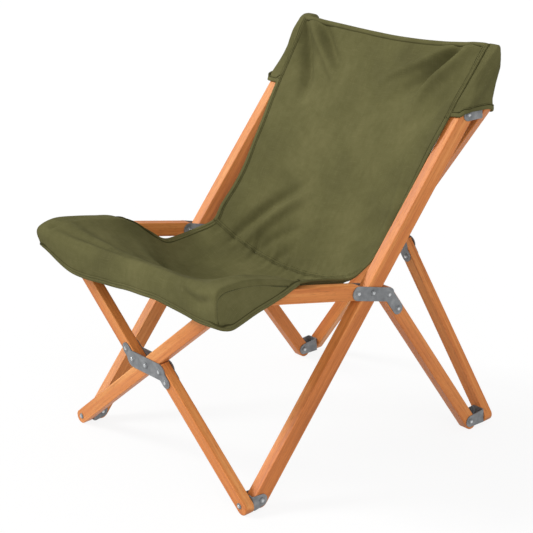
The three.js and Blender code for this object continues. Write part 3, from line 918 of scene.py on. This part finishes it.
def stitch_row(path, inward, normal, at, level):
    """Points and faces of a row of stitches along a hem's sunken line, above and below."""
    path = path + inward * at
    lengths = lengths_along(path)
    starts = np.arange(stitch_pitch, lengths[-1] - stitch_pitch, stitch_pitch)
    size = len(stitch_shares), thread_sides
    points, faces = [], []
    for side in (1, -1):
        for start in starts:
            spots = start + stitch_shares * stitch_length
            up = resampled(normal, lengths, spots) * side
            across = resampled(inward, lengths, spots)
            line = resampled(path, lengths, spots) + up * (level + stitch_lifts)[:, None]
            base = len(points)
            for p, n, a, share in zip(line, up, across, stitch_widths):
                width = thread_radius * share
                points += [p + a * (width * c) + n * (width * s) for c, s in circle(thread_sides)]
            faces += ring_faces(*size, base) + end_faces(*size, base)
    return points, faces


def thread_material():
    s = Shader("thread")
    place = s.add("TexCoord").outputs["Object"]
    twist = s.noise(place, 1400.0, 2.0)
    colour = s.ramp(twist, [(0.3, rgb("4E4D2D")), (0.7, rgb("6F6E47"))])
    return s.principled({
        "Base Color": colour, "Roughness": s.span(twist, 0.3, 0.7, 0.6, 0.75),
        "Normal": s.bump(twist, 0.3, 0.0002), "Sheen Weight": 0.1, "Specular IOR Level": 0.3,
    })


thread = thread_material()


def hem(name, path, inward, normal, top, body, stitches, spans=True, closed=False):
    """A hem and the stitches in its grooves. Stitches: (inward, up) of each row."""
    pieces = [sweep(name, path, inward, normal, top, closed)]
    if stitches:
        points, faces = joined(stitch_row(path, inward, normal, at, level) for at, level in stitches)
        pieces.append(make_object(name + "_stitches", points, faces, thread))
    for piece in pieces:
        hold(piece, body)
        if spans:
            narrows(piece)
    return pieces


# The sling's two panels

edge_passes = 4
seam_gap = 0.0005  # how far the seam's hem lies above the end of the back's cloth


def build_back():
    grid = sling_grid(0, seam_station)
    faces = grid_faces(point_numbers(*grid.shape[:2]))
    made = cloth_object("sling_back_canvas", grid, faces, cloth_lengths(grid))
    finish_cloth(made)
    hold(made, "side_right", "sling_back")
    narrows(made)
    normals = grid_normals(grid)
    sewn = []
    split = int(round(pocket_end_station * rows_per_station))
    for side, edge, inner in (("right", -1, -4), ("left", 0, 3)):
        path = smoothed(grid[:, edge], edge_passes)
        inward = smoothed(unit(grid[:, inner] - grid[:, edge]), edge_passes)
        normal = smoothed(normals[:, edge], edge_passes)
        for name, part, top, stitches in (
            ("back_pocket_seam_", slice(split + 1), double_top, [second_stitch, hem_stitch]),
            ("back_hem_", slice(split, None), hem_top, [hem_stitch]),
        ):
            sewn += hem(name + side, path[part], inward[part], normal[part], top, "side_right", stitches)
    for name, edge, inner, gap, top, stitches in (
        ("back_top_hem", 0, 3, 0, roll_top, []),
        ("back_seam", -1, -4, seam_gap, seam_top, [seam_stitch]),
    ):
        inward = smoothed(unit(grid[inner] - grid[edge]), edge_passes)
        normal = smoothed(normals[edge], edge_passes)
        sewn += hem(name, grid[edge] + inward * gap, inward, normal, top, "side_right", stitches)


flap_steps = 18
flap_bulge = 0.0025
# The left flap against the right one: how far its hem is drawn up and in at the front, and down at the back
left_flap_share, left_flap_inward, left_flap_drop = 0.35, 0.004, 0.007
turned_radius = 0.010
# The patch seam runs where the flap is deeper than seam_room. It is moved up by at most seam_depth, and from
# bend_start to bend_end, where the front turns down, by bend_depth more.
seam_depth, seam_room = 0.007, 0.024
# Passes that even out the free edge, the way the cloth faces there, and the patch seam
rim_passes, facing_passes, seam_passes = 6, 10, 30
bend_start, bend_end, bend_depth = 19.4, 21.4, 0.0080


def flap_edge(side, edge, right_edge):
    """The lower hem of one of the seat's flaps, below each point of the edge that it hangs from."""
    count = len(edge)
    lower = spline(on_floor(flap_hem), np.linspace(0, len(flap_hem) - 1, count)) * np.array([side, 1, 1])
    if side < 0:
        far = np.linspace(0, 1, count)[:, None]
        front = np.clip(far * 3 - 1, 0, 1)
        lower[:, 1:] += (edge[:, 1:] - right_edge[:, 1:]) * np.clip(far * 1.6, 0.6, 1)
        lower += (edge - lower) * left_flap_share * front
        lower[:, :1] += left_flap_inward * front
        lower[:, 2:] -= left_flap_drop * np.clip(1 - far * 4, 0, 1)
    return lower


def build_seat():
    grid = sling_grid(seam_station, last_station)
    index = point_numbers(*grid.shape[:2])
    lengths = cloth_lengths(grid)
    points = [grid.reshape(-1, 3)]
    cloth = [lengths.reshape(-1, 3)]
    faces = grid_faces(index)
    first = int(round((flap_start - seam_station) * rows_per_station))
    count = len(grid) - first
    start = index.size
    flaps = {}
    for side, column in ((1, -1), (-1, 0)):
        edge = grid[first:, column]
        lower = flap_edge(side, edge, grid[first:, -1])
        share = np.linspace(0, 1, flap_steps + 1)[1:]
        flap = edge[:, None] + (lower - edge)[:, None] * share[None, :, None]
        flap[..., 0] += side * flap_bulge * np.sin(math.pi * share)[None, :]
        points.append(flap.reshape(-1, 3))
        base = lengths[first:, column]
        drop = np.linalg.norm(flap - edge[:, None], axis=2)
        cloth.append((base[:, None] + drop[..., None] * np.array([side, 0, 0])).reshape(-1, 3))
        flaps[side] = np.column_stack([index[first:, column], start + point_numbers(count, flap_steps)])
        faces += [quad[::side] for quad in grid_faces(flaps[side])]
        start += count * flap_steps
    all_points = np.vstack(points)
    made = cloth_object("sling_seat_canvas", all_points, faces, np.vstack(cloth))
    group = made.vertex_groups.new(name="turned_edge")
    line = np.vstack([grid[first:, 0], grid[first:, -1]])
    gaps = np.linalg.norm(all_points[:, None] - line[None], axis=2).min(1)
    for near in np.flatnonzero(gaps < turned_radius):
        group.add([int(near)], float(1 - gaps[near] / turned_radius), "REPLACE")
    soften = made.modifiers.new("soften", "SMOOTH")
    soften.factor = 0.5
    soften.iterations = 3
    soften.vertex_group = group.name
    apply_modifiers(made)
    settled = np.array([v.co for v in made.data.vertices])
    facing = np.array([v.normal for v in made.data.vertices])
    finish_cloth(made)
    hold(made, "rail_right", "sling_seat", "pocket_seat_right", "pocket_seat_left")
    narrows(made)

    # The felled seam that bounds each corner patch, beside the ridge over the rail
    sewn = []
    for side_name, side in sides.items():
        table = flaps[side]
        ridge = settled[table[:, 0]]
        rim = smoothed(settled[table[:, -1]], rim_passes)
        room = ((ridge - rim) * beside(rim, smoothed(facing[table[:, -2]], facing_passes)) * side).sum(1)
        path = smoothed(settled[table[:, 2]], seam_passes)
        out = smoothed(facing[table[:, 5]], seam_passes)
        down = beside(path, out) * -side
        back = np.clip(((path - ridge) * down).sum(1), 0, seam_depth)
        stations = np.linspace(flap_start, last_station, count)
        back += np.interp(stations, [bend_start, bend_end], [0, bend_depth])
        path = path - down * smoothed(back, facing_passes)[:, None]
        run = slice(np.flatnonzero(room > seam_room)[0] - 2, -4)
        name = "patch_seam_" + side_name
        sewn += hem(name, path[run], down[run], out[run], bead_top, "rail_right", [bead_stitch])

    # The free edge of the seat: down the right side, along the apron and up the left side
    right = [index[:first + 1, -1], flaps[1][1:, -1]]
    left = [flaps[-1][1:, -1][::-1], index[:first + 1, 0][::-1]]
    rim = np.concatenate([*right, index[-1, ::-1][1:-1], *left])
    path = smoothed(settled[rim], rim_passes)
    out = smoothed(facing[rim], facing_passes)
    inward = smoothed(beside(path, out), rim_passes)
    sewn += hem("seat_hem", path, inward, out, wide_top, "rail_right", [wide_stitch])


build_back()
build_seat()


# Top pockets

# Heights here are z before the chair is stood on the floor.
# Rim by angle, from the outer side towards the back: [share of a turn, height]
rim_heights = {
    "right": [(0.0, 0.713), (0.12, 0.706), (0.25, 0.701), (0.40, 0.700), (0.55, 0.697),
              (0.66, 0.693), (0.74, 0.702), (0.86, 0.711), (1.0, 0.713)],
    "left": [(0.0, 0.697), (0.12, 0.700), (0.25, 0.701), (0.40, 0.700), (0.55, 0.697),
             (0.66, 0.693), (0.74, 0.687), (0.86, 0.688), (1.0, 0.697)],
}
# How far the front wall stands off the bar, [along it from wall_shift above the top pin, out from its middle]
wall_shift = 0.0127
front_walls = {
    "right": [(-0.04, 0.0205), (0.14, 0.0205)],
    "left": [(-0.04, 0.0200), (0.01, 0.0215), (0.06, 0.0260), (0.10, 0.0330), (0.15, 0.0340)],
}
# The rear wall, [height, y]
rear_walls = [(0.690, 0.3120), (0.728, 0.3120), (0.790, 0.3350), (0.806, 0.3350), (0.836, 0.3290)]
pocket_tops = {"right": (0.8230, 0.8350), "left": (0.8160, 0.8275)}  # where the crown starts, and its top
pocket_steps = 84
pocket_levels = 34
dome_levels = 12
# Half widths from the bar's middle: the outer side flares towards the rim, the inner one narrows to the top
outer_width, outer_flare, flare_share = 0.0158, 0.0057, 0.45
inner_width, inner_taper = 0.0195, 0.0030
# A fold down the front wall beside the seam: depth, width, x at the rim, and drift from there to the top
fold_depth, fold_width, fold_start, fold_drift = 0.0050, 0.0050, -0.0070, 0.0190
# The outer wall hangs slack: out along one line, in along another before it, and how wide both are
slack_out, slack_in, slack_gap, slack_width = 0.0070, 0.0006, 0.34, 0.17


def pocket_ring(side_name, angles, t, z, shrink):
    """The x and y of one ring of a pocket, t up from the rim to the crown and narrowed by shrink on it."""
    axis_y = top_pin[0] + (z - top_pin[1]) * (bar_direction[0] / bar_direction[1])
    along = (z - top_pin[1] - wall_shift) / bar_direction[1]
    front = axis_y - np.interp(along, *np.array(front_walls[side_name]).T) / bar_direction[1]
    rear = np.interp(z, *np.array(rear_walls).T)
    outer = (outer_width + outer_flare * max(0, 1 - t / flare_share)) * (0.7 + 0.3 * shrink)
    inner = (inner_width - inner_taper * t) * (0.4 + 0.6 * shrink)
    power = 2 / (8 - 4.6 * t)  # the ring is nearly square at the rim and rounder at the top
    cos, sin = np.cos(angles), np.sin(angles)
    wide = np.where(cos > 0, outer, inner) * (shrink if shrink < 0.3 else 1)
    x = wide * np.sign(cos) * np.abs(cos) ** power
    deep = (rear - front) / 2 * shrink
    y = (rear + front) / 2 + deep * np.sign(sin) * np.abs(sin) ** power
    body = math.sin(math.pi * min(t * 0.9 + 0.08, 1)) ** 0.6 * shrink
    y -= np.clip(-sin, 0, 1) ** 0.5 * body * fold_depth * bell(x - (fold_drift * t + fold_start), fold_width)
    back_share = (y - front) / (rear - front) - 0.02 - 0.72 * t
    lines = slack_out * bell(back_share, slack_width) - slack_in * bell(back_share + slack_gap, slack_width)
    x += np.clip(cos, 0, 1) ** 0.3 * body * lines
    return x, y


def build_pocket(side_name, side):
    angles = 2 * math.pi * np.arange(pocket_steps) / pocket_steps
    rim = np.interp(angles / (2 * math.pi), *np.array(rim_heights[side_name]).T)
    rim = sum(np.roll(rim, step) for step in (0, 1, -1, 2, -2)) / 5
    rows = []
    dome_start, pocket_top = pocket_tops[side_name]
    for level in range(pocket_levels + dome_levels + 1):
        t, shrink = level / pocket_levels, 1.0
        z = rim + (dome_start - rim) * t
        if level > pocket_levels:
            turn = math.pi / 2 * (level - pocket_levels) / dome_levels
            t, shrink = 1.0, max(math.cos(turn) ** 0.6, 0.02)
            z = np.full(pocket_steps, dome_start + (pocket_top - dome_start) * math.sin(turn))
        x, y = pocket_ring(side_name, angles, t, z, shrink)
        rows.append(np.stack([side * (half_width + x), y, z], axis=1))
    grid = on_floor(np.array(rows))
    size = len(grid), pocket_steps
    faces = [face[::side] for face in ring_faces(*size) + end_faces(*size)[1:]]
    lengths = np.zeros(grid.shape)
    lengths[..., 0] = lengths_along(grid[0])[None]
    lengths[1:, :, 1] = np.cumsum(np.linalg.norm(np.diff(grid, axis=0), axis=2), axis=0)
    made = cloth_object("pocket_top_canvas_" + side_name, grid, faces, lengths)
    finish_cloth(made, pocket_thickness)
    hold(made, "side_" + side_name, "pocket_top_" + side_name)
    outward = unit(grid[1] - grid[1].mean(0))
    sewn = hem("pocket_rim_" + side_name, grid[0], unit(grid[3] - grid[0]), outward, hem_top,
               "side_" + side_name, [hem_stitch], spans=False, closed=True)


for side_name, side in sides.items():
    build_pocket(side_name, side)
